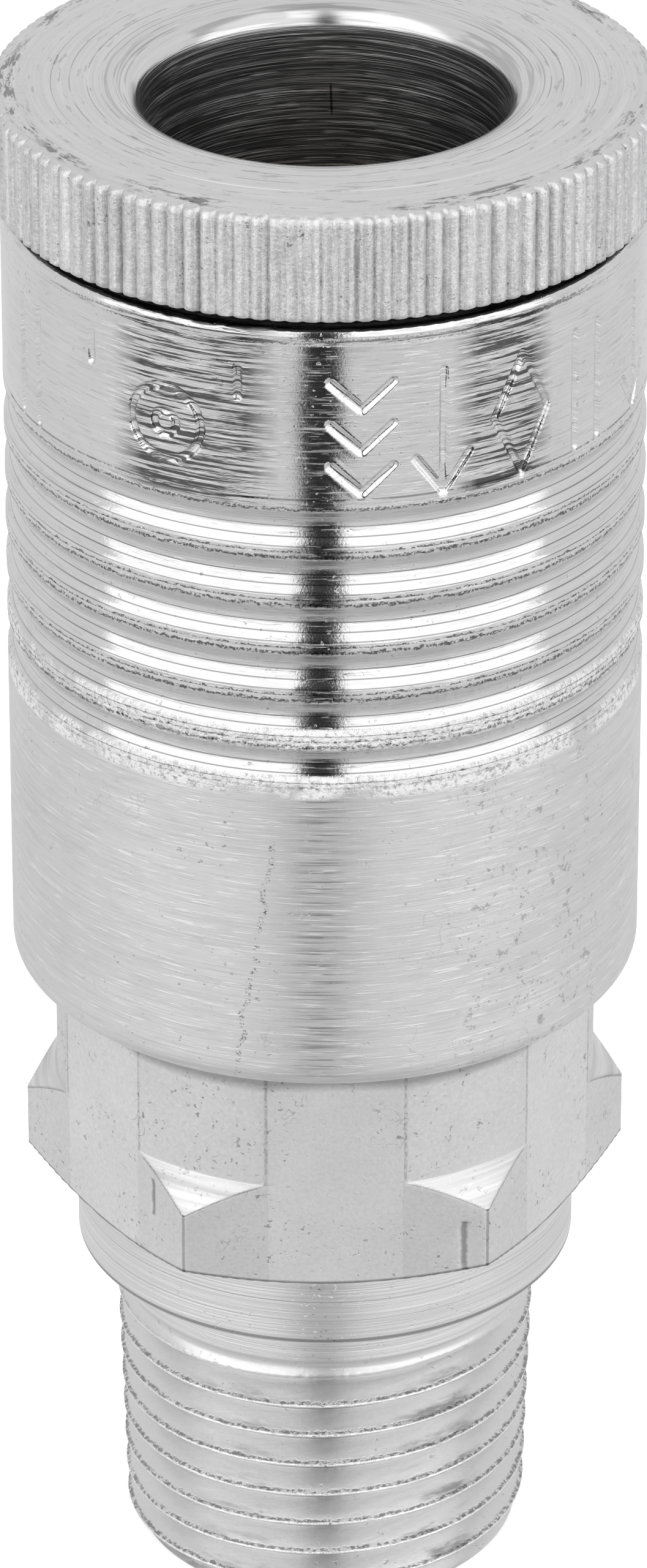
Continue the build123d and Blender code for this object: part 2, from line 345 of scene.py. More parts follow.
def smooth_noise(angle, height, seed, around, upward):
    """A soft random field on a cylinder: a sum of a few sines with seeded phases."""
    dice = np.random.default_rng(seed)
    total = np.zeros(np.broadcast(angle, height).shape)
    sines = 14
    for _ in range(sines):
        waves = dice.integers(1, around)
        rise = dice.uniform(-upward, upward)
        total = total + np.sin(waves * angle + rise * height + dice.uniform(0, 6.28))
    return total / math.sqrt(sines)


def groove_depth(height):
    """Depth of the rolled grip grooves below the sleeve's own radius, with two fine tool lines on
    each groove's lower side."""
    step = (height - GROOVE_LOWEST) / GROOVE_PITCH
    nearest = np.clip(np.round(step), 0, GROOVE_COUNT - 1)
    offset = (step - nearest) * GROOVE_PITCH
    bowl = np.clip(1 - (offset / GROOVE_HALF) ** 2, 0, 1) ** 1.2
    tool_line = np.exp(-((offset + 0.52) / 0.07) ** 2) + np.exp(-((offset + 0.98) / 0.06) ** 2)
    return GROOVE_DEPTH * bowl + 0.014 * tool_line


# Stamped marks: plain direction and lock signs, each a few straight or round strokes in millimetres
# about its own centre (x to the right around the sleeve, y up).
def round_stroke(cx, cy, radius, steps=28):
    turn = np.radians(np.linspace(0, 360, steps))
    return [(cx + radius * math.cos(t), cy + radius * math.sin(t)) for t in turn]


PULL_ARROW = [[(0, 3.2), (0, -3.1)], [(-1.4, -1.3), (0, -3.2), (1.4, -1.3)]]
TARGET = [round_stroke(0, 0, 1.9), round_stroke(0, 0, 0.6)]
DIAMOND = [[(0, 3.1), (1.6, 0), (0, -3.1), (-1.6, 0), (0, 3.1)]]
BARS = [[(-0.9, 3.0), (-0.9, -3.0)], [(0.9, 3.0), (0.9, -3.0)]]
CHEVRONS = [[(-1.5, y + 0.7), (0, y - 0.7), (1.5, y + 0.7)] for y in (2.2, 0.0, -2.2)]
TICK = [[(0, 0.8), (0, -0.6)]]
MARKS = [
    (-66.0, 69.6, BARS), (-47.0, 72.2, TICK), (-31.0, 69.6, TARGET), (-17.5, 72.2, TICK),
    (4.0, 69.6, CHEVRONS), (18.5, 69.6, PULL_ARROW), (34.0, 69.6, DIAMOND), (50.0, 69.6, BARS),
    (68.0, 69.6, PULL_ARROW), (140.0, 69.6, PULL_ARROW), (180.0, 69.6, TARGET),
    (220.0, 69.6, PULL_ARROW),
]
MARK_BAND = (66.3, 73.1)
MARK_DEPTH = 0.14
MARK_WIDTH = 0.28
BURR_HEIGHT = 0.03


def mark_turn(azimuth, angle):
    """Angle from a mark's centre, between minus and plus half a turn; azimuth 0 is the front, -Y."""
    return (angle + math.pi / 2 - math.radians(azimuth) + math.pi) % (2 * math.pi) - math.pi


def crowded_angles(count):
    """Angles round the sleeve, closer together where there are marks."""
    fine = np.linspace(0, 2 * math.pi, 20001)
    crowd = np.ones(fine.shape)
    for azimuth, _, strokes in MARKS:
        half = max(abs(px) for stroke in strokes for px, _ in stroke) + 0.45
        crowd = np.maximum(crowd, 3.4 * (np.abs(mark_turn(azimuth, fine)) * sleeve_r < half))
    share = np.concatenate([[0], np.cumsum(crowd[:-1])]) / np.sum(crowd[:-1])
    return np.interp(np.linspace(0, 1, count, endpoint=False), share, fine)[None, :]


def stroke_distance(across, up, stroke):
    nearest = np.full(across.shape, 1e3)
    for (ax, ay), (bx, by) in zip(stroke, stroke[1:]):
        dx, dy = bx - ax, by - ay
        along = np.clip(((across - ax) * dx + (up - ay) * dy) / (dx * dx + dy * dy), 0, 1)
        nearest = np.minimum(nearest, np.hypot(across - ax - along * dx, up - ay - along * dy))
    return nearest


def stamp_height(angle, height):
    """Height change of the stamped marks: a shallow groove with a fine burr along both sides."""
    nearest = np.full(np.broadcast(angle, height).shape, 1e3)
    for azimuth, centre_z, strokes in MARKS:
        across = mark_turn(azimuth, angle) * sleeve_r + 0 * height
        up = height - centre_z + 0 * angle
        for stroke in strokes:
            nearest = np.minimum(nearest, stroke_distance(across, up, stroke))
    groove = np.clip(1.4 * (1 - nearest / MARK_WIDTH), 0, 1)
    groove = groove * groove * (3 - 2 * groove)
    uneven = 0.9 + 0.25 * smooth_noise(angle, height, 77, 40, 3)
    burr = np.exp(-((nearest - MARK_WIDTH * 1.2) / 0.11) ** 2)
    sunk = MARK_DEPTH * groove * np.clip(uneven, 0.3, 1.3)
    raised = BURR_HEIGHT * burr * np.clip(uneven, 0.1, 1.5)
    return raised - sunk


def cone_r(height):
    """Radius of the cone that pushes the lock balls inwards; it widens towards the mouth."""
    return CONE_R_AT_BALL + CONE_SLOPE * (height - BALL_Z)


def make_lower_sleeve():
    """Plain band and grip grooves outside; spring bore, shoulder and start of the cone inside."""
    bore_r = sleeve_r - SLEEVE_WALL
    edge = BOTTOM_ROUNDING
    outside = [(bore_r + 0.5, sleeve_bottom)]
    outside += arc_rows(sleeve_r - edge, sleeve_bottom + edge, edge, -90, 0, 9)
    plain = np.linspace(sleeve_bottom + edge + 0.4, GROOVE_LOWEST - 1.4, 28)
    grooves = np.arange(GROOVE_LOWEST - 1.3, JOINT_Z - 0.05, 0.125)
    outside += [(sleeve_r, z) for z in (*plain, *grooves, JOINT_Z)]
    inside = [(cone_r(JOINT_Z), JOINT_Z), (LAND_R, LAND_TOP), (LAND_R, SHOULDER_Z + 0.3),
              (LAND_R, SHOULDER_Z), (bore_r, SHOULDER_Z)]
    inside += [(bore_r, z) for z in np.linspace(SHOULDER_Z - 1, sleeve_bottom + 0.5, 8)]
    angle = ring_angles(512)
    radius, height = spin(outside + inside, angle)
    outer_z = height[:len(outside)]
    depth = groove_depth(outer_z)
    radius[:len(outside)] -= depth
    on_crest = (depth < 0.05) & (outer_z > plain[-1]) & (outer_z < JOINT_Z - 0.2)
    worn = smooth_noise(angle, outer_z, 4, 60, 9)
    battered = np.clip((GROOVE_LOWEST + 2.2 - outer_z) / 1.2, 0, 1)
    radius[:len(outside)] -= on_crest * (0.008 + 0.03 * battered) * np.clip(worn, 0, 2)
    radius[:len(outside)] += 0.004 * smooth_noise(angle, outer_z, 9, 24, 1.2)
    radius = np.minimum(radius, sleeve_r)
    return lay_grid("sleeve_lower", radius, height, angle)


def make_upper_sleeve():
    """Band with the stamped marks outside; cone and the wider mouth for the ring's spigot inside."""
    step_z = sleeve_top - MOUTH_DEPTH
    rows = [JOINT_Z, JOINT_Z + 0.2, JOINT_Z + 0.45, *np.arange(*MARK_BAND, 0.082)]
    rows += list(np.linspace(73.3, sleeve_top - 0.4, 8))
    edge = TOP_ROUNDING
    outside = [(sleeve_r, z) for z in rows] + arc_rows(sleeve_r - edge, sleeve_top - edge, edge, 0, 90, 5)
    inside = [(15.1, sleeve_top), (MOUTH_R, sleeve_top), (MOUTH_R, step_z), (cone_r(step_z), step_z)]
    inside += [(cone_r(z), z) for z in np.linspace(step_z - 1.0, JOINT_Z, 6)]
    angle = crowded_angles(820)
    radius, height = spin(outside + inside, angle)
    band = slice(1, len(rows))
    radius[band] += stamp_height(angle, height[band])
    radius[:len(rows)] += 0.004 * smooth_noise(angle, height[:len(rows)], 9, 24, 1.2)
    radius = np.minimum(radius, sleeve_r)
    return lay_grid("sleeve_upper", radius, height, angle)


def metal(name, look, anisotropy=0.0):
    """A metal whose shade, roughness and relief come from look(bench, x, y, z)."""
    material = bpy.data.materials.new(name)
    material.use_nodes = True
    bench = Bench(material.node_tree)
    shade, roughness, relief = look(bench, *bench.place())
    normal = bench.node("Bump", inputs={"Strength": 0.5, "Distance": 0.06 * MM, "Height": relief})
    shader = bench.node("BsdfPrincipled", inputs={
        "Base Color": bench.grey(shade), "Metallic": 1.0, "Roughness": roughness,
        "Normal": normal, "Anisotropic": anisotropy, "Anisotropic Rotation": 0.25})
    bench.surface(shader)
    return material


def tool_lines(bench, x, y, along, per_mm, drift=0.06, detail=3.0, rough=0.65):
    """Fine rings left by the turning tool: noise that changes fast along the piece, slowly round it."""
    return bench.noise(bench.vector(x * drift, y * drift, along * per_mm), 1.0, detail, rough)


def specks(bench, point, scale, amount=0.66):
    """Small irregular pits in loose clusters."""
    cluster = bench.ramp(bench.noise(point, scale * 0.12, 2.0), 0.48, 0.60)
    return bench.ramp(bench.noise(point, scale, 2.0, 0.6), amount, amount + 0.05) * cluster


def hairlines(bench, x, y, z, scale, where=0.55):
    """Thin wandering scratches, the contour lines of a slow noise, present only in some places."""
    point = bench.vector(x, y, z)
    slow = bench.noise(point, scale, 3.0, 0.6)
    thin = bench.ramp(abs(slow - 0.5), 0.002, 0.010, 1.0, 0.0)
    present = bench.noise(bench.vector(x + 40, y, z), scale * 0.8, 2.0)
    return thin * bench.ramp(present, where, where + 0.08)


def front_angle(x, y):
    """Degrees round the axis from the front, positive to the right."""
    return x.math("ARCTAN2", y * -1.0) * math.degrees(1)


def from_axis(x, y):
    """Distance from the coupler's axis."""
    return (x * x + y * y).math("SQRT")


def groove_wear(bench, point, z, grain, cloud, in_front):
    """Dark seams and ragged worn crests along the grooves, and the battered two lowest crests."""
    step = (z - GROOVE_LOWEST) / GROOVE_PITCH + 0.5
    offset = (step.math("FRACT") - 0.5) * GROOVE_PITCH
    ragged = offset + (bench.noise(point, 2.2, 3.0, 0.7) - 0.5) * 0.5
    worn_edge = bench.line(ragged, 1.02, 0.24) + bench.line(ragged, -1.26, 0.16)
    seam = bench.line(offset, -0.06, 0.08) + bench.line(offset, -0.54, 0.08)
    seam = seam + bench.line(offset, -0.96, 0.08)
    lines = seam * 0.30 + seam * in_front * 0.30 + worn_edge * bench.ramp(grain, 0.38, 0.52) * 0.80
    battered = bench.between(z, GROOVE_LOWEST - 1.9, GROOVE_LOWEST + 2.2, 0.3)
    battered = battered * bench.ramp(abs(offset), 0.62, 0.85) * bench.ramp(cloud, 0.36, 0.46)
    return lines, battered


def plain_band_marks(bench, x, y, z, turn, grain, broad, plain):
    """An old wandering scratch left of the middle, thin stains, and a bruised patch to the right."""
    wander = (bench.noise(bench.vector(0.0, 0.0, z), 0.7, 3.0) - 0.5) * 5.0
    slanting = (z - 41.0) * 0.55 - 15.0
    old_scratch = bench.line(turn + wander, slanting, 1.3) * bench.between(z, 34.5, 47.5, 0.4)
    old_scratch = old_scratch * bench.ramp(grain, 0.50, 0.60) * bench.ramp(broad, 0.42, 0.55)
    stains = hairlines(bench, x, y, z, 0.30) * plain
    blotch = bench.ramp(bench.noise(bench.vector(x, y, z), 1.5, 4.0, 0.8), 0.59, 0.64)
    bruise = bench.between(turn, 26, 52, 8) * plain * blotch
    return old_scratch * 0.75 + stains * 0.12 + bruise * 0.34


def sleeve_look(bench, x, y, z):
    """Satin plain band with shiny lines and an old scratch, bright grooves with worn crests whose
    battered lowest ones carry a painted sparkle, and a near-mirror upper band with dark streaked patches
    of painted reflection. The sleeve's mouth and inside are darkened as painted shade."""
    point = bench.vector(x, y, z)
    out = from_axis(x, y)
    along = z + out * 0.83
    turn = front_angle(x, y)
    plain = bench.ramp(z, GROOVE_LOWEST - 1.5, GROOVE_LOWEST - 1.0, 1.0, 0.0)
    band = bench.ramp(z, JOINT_Z - 0.15, JOINT_Z + 0.25)
    grooved = (1.0 - plain) * (1.0 - band)
    fine = tool_lines(bench, x, y, along, 12.0)
    broad = tool_lines(bench, x, y, along, 3.0, 0.12)
    dashes = tool_lines(bench, x, y, along, 8.0, 0.45, 2.0)
    grain = bench.noise(point, 8.0, 2.0, 0.6)
    cloud = bench.noise(point, 0.22, 4.0, 0.6)
    pit = specks(bench, point, 3.2)
    scratch = bench.ramp(dashes, 0.60, 0.66)
    dark_dash = bench.ramp(dashes, 0.36, 0.42, 1.0, 0.0)

    smear = tool_lines(bench, x, y, along, 6.5, 0.20, 4.0, 0.72)
    # Painted reflection: dark streaked patches on the upper band, at set angles round the sleeve, stand
    # for a dark surround mirrored there.
    patch = bench.between(turn, -36, -16, 6) + bench.between(turn, 25, 36, 5)
    patch = patch + bench.between(turn, 96, 120, 9)
    painted_dark_reflection = bench.ramp(smear, 0.485, 0.525) * patch * band
    dull_line = bench.ramp(smear, 0.56, 0.64)

    in_front = bench.between(abs(turn), 0, 52, 12)
    top_wear = bench.line(z + (grain - 0.5) * 0.5, sleeve_top - 0.62, 0.34)
    top_wear = top_wear * in_front * bench.ramp(smear, 0.46, 0.52)
    lines, battered = groove_wear(bench, point, z, grain, cloud, in_front)
    grit_and_painted_glint = bench.noise(point, 3.4, 4.0, 0.75)
    marks = plain_band_marks(bench, x, y, z, turn, grain, broad, plain)

    shade = 0.79 - plain * 0.03 + (fine - 0.5) * 0.24 + (cloud - 0.5) * 0.14
    shade = shade - dark_dash * (0.06 + band * 0.06)
    shade = shade + scratch * plain * 0.12
    shade = (shade - pit * 0.25) * (1.0 - painted_dark_reflection * 0.84) * (1.0 - lines * grooved) * (1.0 - marks)
    # Painted highlight: most of the battered lowest crests are lightened as sparkle; where the noise is
    # low they get dark grit.
    shade = shade + battered * (bench.ramp(grit_and_painted_glint, 0.36, 0.50) * 0.46 - 0.22)
    # Painted shade: the mouth and inside of the sleeve, more than 0.8 mm in from its outer radius, are
    # darkened by three quarters.
    shade = shade * (1.0 - top_wear * 0.6) * (1.0 - (out < sleeve_r - 0.8) * 0.75)
    shiny = bench.ramp(fine * 0.6 + broad * 0.4, 0.50, 0.55)
    roughness = 0.12 + plain * (0.36 - shiny * 0.20) + band * dull_line * 0.25
    roughness = roughness + scratch * 0.10 + pit * 0.2
    roughness = roughness + battered * (0.10 + bench.ramp(grit_and_painted_glint, 0.42, 0.58) * 0.25)
    relief = (fine - 0.5) * (0.45 - band * 0.20) + (broad - 0.5) * (0.45 - band * 0.25) + scratch * 0.25
    relief = relief + (grain - 0.5) * 0.10 - pit * 0.5 - marks * 0.8 + battered * (grit_and_painted_glint - 0.5) * 7.0
    relief = relief - top_wear * 1.2
    return shade, roughness, relief


sleeve_zinc = metal("sleeve_zinc", sleeve_look, anisotropy=0.3)
for piece in (make_lower_sleeve(), make_upper_sleeve()):
    piece.data.materials.append(sleeve_zinc)
    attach(piece, "sleeve")
    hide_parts("release_sleeve")


# ---------------------------------------------------------------------------------------------
# Nose ring: zinc-plated steel ring with a straight knurl, screwed on the barrel's front end. Its
# spigot reaches into the sleeve's mouth and stops the sleeve.
# ---------------------------------------------------------------------------------------------
KNURL_TEETH = 120
TOOTH_STEPS = (0.0, 0.05, 0.10, 0.15, 0.30, 0.50, 0.70, 0.85, 0.90, 0.95)
KNURL_DEPTH = 0.15
VALLEY_HALF = 0.27

ring_low, ring_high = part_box("nose_ring")
knurl_r = ring_high.x / MM
nose_top = ring_high.z / MM
spigot_bottom = ring_low.z / MM
RING_BOTTOM = spigot_bottom + 1.7
SPIGOT_R = 14.65
SCREW_R = 13.3


def make_nose_ring():
    tooth = (np.arange(KNURL_TEETH)[:, None] + np.array(TOOTH_STEPS)[None, :]).reshape(1, -1)
    angle = tooth / KNURL_TEETH * 2 * math.pi
    dice = np.random.default_rng(11)
    place = tooth % 1
    from_groove = np.minimum(place, 1 - place)
    index = np.round(tooth).astype(int) % KNURL_TEETH
    depth = KNURL_DEPTH * dice.uniform(0.5, 1.2, KNURL_TEETH)[index]
    valley = depth * np.clip(1 - from_groove / VALLEY_HALF, 0, 1) + 0.05 * (1 - np.sin(math.pi * place))
    rows = [(SPIGOT_R, spigot_bottom), (SPIGOT_R, RING_BOTTOM)]
    rows += [(knurl_r - 0.6, RING_BOTTOM), (knurl_r - 0.12, RING_BOTTOM + 0.02)]
    straight = np.linspace(RING_BOTTOM + 0.12, nose_top - 0.42, 26)
    rows += [(knurl_r, z) for z in straight]
    last = len(rows)
    first = last - len(straight)
    rows += [(knurl_r - 0.06, nose_top - 0.28), (knurl_r - 0.22, nose_top - 0.16),
             (knurl_r - 0.48, nose_top - 0.06), (knurl_r - 0.85, nose_top)]
    rows += [(r, nose_top) for r in np.linspace(knurl_r - 1.2, SCREW_R + 0.02, 8)]
    rows += [(SCREW_R, nose_top - 0.03), (SCREW_R, spigot_bottom)]
    radius, height = spin(rows, angle)
    zone = slice(first, last)
    flank = 0.014 * smooth_noise(angle, height[zone], 21, 400, 16)
    radius[zone] -= valley + np.clip(flank, -0.01, 0.03)
    for row, share in ((first - 1, 0.8), (last, 1.0), (last + 1, 0.9), (last + 2, 0.4)):
        radius[row] -= valley[0] * share
    radius = np.minimum(radius, knurl_r)
    return lay_grid("knurled_ring", radius, height, angle, sharp=50)


def face_marks(bench, x, y, out):
    """Turning rings on the front face, with a few darker arcs and scuffs, and dark smears near the rim
    that are a painted reflection.
    """
    point = bench.vector(x, y, 0.0)
    rings = tool_lines(bench, x, y, out, 9.0, 0.10)
    broad = tool_lines(bench, x, y, out, 2.6, 0.12)
    present = bench.ramp(bench.noise(point, 0.30, 2.0), 0.46, 0.54)
    arcs = bench.line(out, 10.95, 0.08) + bench.line(out, 11.55, 0.07) + bench.line(out, 12.4, 0.07)
    smear = bench.ramp(tool_lines(bench, x, y, out, 3.0, 0.7, 4.0, 0.75), 0.50, 0.57)
    # Painted reflection: dark ragged smears on the face's outer rim stand for something dark mirrored
    # there.
    rim = bench.between(out, 15.15, 15.75, 0.15) * smear
    rim = rim * bench.ramp(bench.noise(point, 0.16, 2.0), 0.42, 0.52)
    scuff = bench.ramp(tool_lines(bench, x, y, out, 3.4, 0.5, 3.0, 0.7), 0.60, 0.66)
    return rings, broad, arcs * present * 0.38 + rim * 0.60 + scuff * 0.26


def ring_look(bench, x, y, z):
    """Speckled satin knurl, darker in its grooves as painted shade and darkened below the ring as painted
    shade in the gap; the front face shows its turning rings and dark smears of painted reflection near
    its edge.
    """
    point = bench.vector(x, y, z)
    out = from_axis(x, y)
    face = bench.ramp(z, nose_top - 0.35, nose_top - 0.1)
    rings, broad, marks = face_marks(bench, x, y, out)
    grain = bench.noise(point, 5.5, 3.0, 0.7)
    blotch = bench.noise(bench.vector(x * 2.2, y * 2.2, z * 0.9), 1.0, 3.0, 0.65)
    pit = specks(bench, point, 4.0, 0.64)
    # Painted shade: the knurl's valleys are darker.
    groove = bench.ramp(out, knurl_r - 0.17, knurl_r - 0.07, 1.0, 0.0) * (1.0 - face)
    # Painted shade in the gap: the spigot and the ring's underside are darkened by nine tenths.
    under = bench.ramp(z, RING_BOTTOM + 0.02, RING_BOTTOM + 0.08, 1.0, 0.0)
    per_tooth = bench.noise(bench.vector(x * 1.3, y * 1.3, z * 0.05), 1.0, 1.0)
    streaks = bench.noise(bench.vector(x * 5.0, y * 5.0, z * 0.35), 1.0, 3.0, 0.7)
    knurled = 0.74 + (grain - 0.5) * 0.55 + (blotch - 0.5) * 0.30 + (streaks - 0.5) * 0.45
    knurled = knurled + (per_tooth - 0.5) * 0.45 - groove * 0.12 - pit * 0.35
    front = (0.80 + (rings - 0.5) * 0.26 + (broad - 0.5) * 0.18) * (1.0 - marks)
    shade = (knurled * (1.0 - face) + front * face) * (1.0 - under * 0.9)
    roughness = 0.38 - face * 0.10 + (blotch - 0.5) * 0.15 + pit * 0.1
    relief = ((grain - 0.5) * 1.4 + (streaks - 0.5) * 1.2) * (1.0 - face) - pit * 0.8
    relief = relief + ((rings - 0.5) * 0.5 + (broad - 0.5) * 0.5 - marks) * face
    return shade, roughness, relief


nose_ring = make_nose_ring()
nose_ring.data.materials.append(metal("ring_zinc", ring_look))
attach(nose_ring, "core")
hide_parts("nose_ring")


# ---------------------------------------------------------------------------------------------
# Front barrel: the bored tube that takes the plug, flush with the knurled ring at its mouth. A
# rounded lip leads into the bore; six holes hold the lock balls.
# ---------------------------------------------------------------------------------------------
barrel_low, barrel_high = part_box("front_barrel")
BORE_R = 9.0
LIP_WIDTH = 2.0
LIP_HEIGHT = 1.3
BALL_RELIEF = 0.2
RELIEF_BOTTOM, RELIEF_TOP = 63.0, 69.0
POCKET_R = 10.5
POCKET_TOP = 59.8
CLIP_GROOVE_R = 11.2
CLIP_BOTTOM, CLIP_TOP = 53.0, 54.0
HEAD_R = 12.35
HEAD_BOTTOM = 61.6
TUBE_R = 12.0
BALL_HOLE_R = 2.33
DRILL_MIDDLE_R = 12.2


def drill_ball_holes(barrel):
    """Six radial holes through the head, one for each lock ball."""
    for turn in np.radians(np.arange(0, 360, 60)):
        bpy.ops.mesh.primitive_cylinder_add(vertices=48, radius=BALL_HOLE_R * MM, depth=6 * MM)
        drill = bpy.context.object
        drill.rotation_euler = (0, math.pi / 2, turn)
        aside = DRILL_MIDDLE_R * MM
        drill.location = (aside * math.cos(turn), aside * math.sin(turn), BALL_Z * MM)
        cut = barrel.modifiers.new("hole", "BOOLEAN")
        cut.operation = "DIFFERENCE"
        cut.solver = "EXACT"
        cut.object = drill
        bpy.context.view_layer.objects.active = barrel
        bpy.ops.object.modifier_apply(modifier=cut.name)
        bpy.data.objects.remove(drill)


def make_barrel():
    top = barrel_high.z / MM
    bottom = barrel_low.z / MM
    lip = [(SCREW_R - 0.02, top), (12.6, top), (11.8, top), (11.2, top)]
    lip += [(BORE_R + LIP_WIDTH * (1 - math.sin(t)) + 0.03, top - LIP_HEIGHT * (1 - math.cos(t)))
            for t in np.radians(np.linspace(6, 88, 14))]
    bore = [(BORE_R, z) for z in np.linspace(top - LIP_HEIGHT - 0.1, RELIEF_TOP, 40)]
    relief = (RELIEF_TOP - BALL_RELIEF, BALL_Z, RELIEF_BOTTOM + BALL_RELIEF)
    bore += [(BORE_R + BALL_RELIEF, z) for z in relief]
    bore += [(BORE_R, RELIEF_BOTTOM), (BORE_R, POCKET_TOP)]
    pocket = [(POCKET_R, POCKET_TOP), (POCKET_R, CLIP_TOP)]
    pocket += [(CLIP_GROOVE_R, CLIP_TOP), (CLIP_GROOVE_R, CLIP_BOTTOM)]
    pocket += [(POCKET_R, CLIP_BOTTOM), (POCKET_R, 44.0), (POCKET_R, bottom)]
    outside = [(TUBE_R - 0.5, bottom), (TUBE_R, bottom + 0.5), (TUBE_R, 44.0), (TUBE_R, 52.0)]
    outside += [(TUBE_R, HEAD_BOTTOM), (HEAD_R, HEAD_BOTTOM), (HEAD_R, BALL_Z), (HEAD_R, spigot_bottom)]
    outside += [(SCREW_R, spigot_bottom), (SCREW_R, top - 0.02)]
    angle = ring_angles(288)
    radius, height = spin(lip + bore + pocket + outside, angle)
    zone = slice(len(lip), len(lip) + 38)
    ridge = np.sin(height[zone] * 9.7 + 0.6 * np.sin(angle)) + 0.7 * np.sin(height[zone] * 23.1)
    radius[zone] += 0.004 * ridge
    barrel = lay_grid("barrel_tube", radius[::-1], height[::-1], angle, sharp=30)
    drill_ball_holes(barrel)
    return barrel


def barrel_look(bench, x, y, z):
    """Turned front face, bright lined lip, and a dull dark bore with coarse tool rings."""
    out = from_axis(x, y)
    inside = bench.ramp(z, nose_top - 1.25, nose_top - 1.0, 1.0, 0.0)
    lip = bench.ramp(out, BORE_R + 1.6, BORE_R + 2.0, 1.0, 0.0) * (1.0 - inside)
    rings, broad, marks = face_marks(bench, x, y, out)
    fine = tool_lines(bench, x, y, z, 15.0, 0.10, 2.0)
    coarse = tool_lines(bench, x, y, z, 4.0, 0.09)
    dashes = tool_lines(bench, x, y, z, 8.0, 0.30, 2.0)
    lip_lines = tool_lines(bench, x, y, z - out, 10.0, 0.14, 2.0)
    bright = bench.ramp(fine, 0.54, 0.59) * 0.44 + bench.ramp(dashes, 0.59, 0.63) * 0.40
    nick = bench.line(x + z * 0.03, 2.95, 0.16) * bench.between(z, 75.6, 76.9, 0.3) * (y > 0.0)
    wall = (0.15 + (coarse - 0.5) * 0.18 + bright) * (1.0 - nick * 0.8)
    front = (0.80 + (rings - 0.5) * 0.26 + (broad - 0.5) * 0.18) * (1.0 - marks * (1.0 - lip))
    front = front - bench.ramp(lip_lines, 0.42, 0.47, 1.0, 0.0) * 0.22 * lip
    shade = wall * inside + front * (1.0 - inside)
    roughness = 0.28 + inside * 0.14 - lip * 0.08
    relief = (rings - 0.5) * 0.5 + (broad - 0.5) * 0.5 - marks
    relief = relief * (1.0 - inside) * (1.0 - lip) + (lip_lines - 0.5) * 1.2 * lip
    relief = relief + ((fine - 0.5) * 1.2 + (coarse - 0.5) * 1.0) * inside
    return shade, roughness, relief


barrel = make_barrel()
barrel.data.materials.append(metal("barrel_zinc", barrel_look))
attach(barrel, "core")
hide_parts("front_barrel")


# ---------------------------------------------------------------------------------------------
# Rear adapter: one piece of hexagon bar, turned down to a neck above and to a collar and a 1/2-14
# male taper thread below. Zinc plated; the flats keep the matte skin of the drawn bar.
# ---------------------------------------------------------------------------------------------
_, adapter_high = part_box("rear_adapter")
HEX_APOTHEM = adapter_high.y / MM
HEX_CORNER = adapter_high.x / MM
ADAPTER_TOP = adapter_high.z / MM
NECK_R = 13.75
COLLAR_R = 12.77
COLLAR_BOTTOM = 17.15
HEX_BOTTOM = 21.15
HEX_CHAMFER = math.tan(math.radians(23))
SHOULDER = 25.3
SHOULDER_SLOPE = 1.08
SOCKET_R = 12.0
SOCKET_FLOOR = 33.0
GUIDE_R = 8.85
GUIDE_FLOOR = 28.0
SPRING_R = 7.85
SPRING_FLOOR = 24.0
AIRWAY_R = 6.75
AIRWAY_TOP = 22.9
# Dents on the hexagon's flats: degrees round from the front, lowest and highest point.
DENTS = [(26.0, 21.9, 24.6), (-40.0, 24.0, 26.0)]
THREAD_START_R = 10.36
THREAD_PITCH = 25.4 / 14
THREAD_TAPER = 1 / 32
THREAD_STEPS = 18
THREAD_ROOT = 1.2
THREAD_TOP = 15.0
THREAD_END_R = THREAD_START_R - 0.6
THREAD_CHAMFER = 0.9


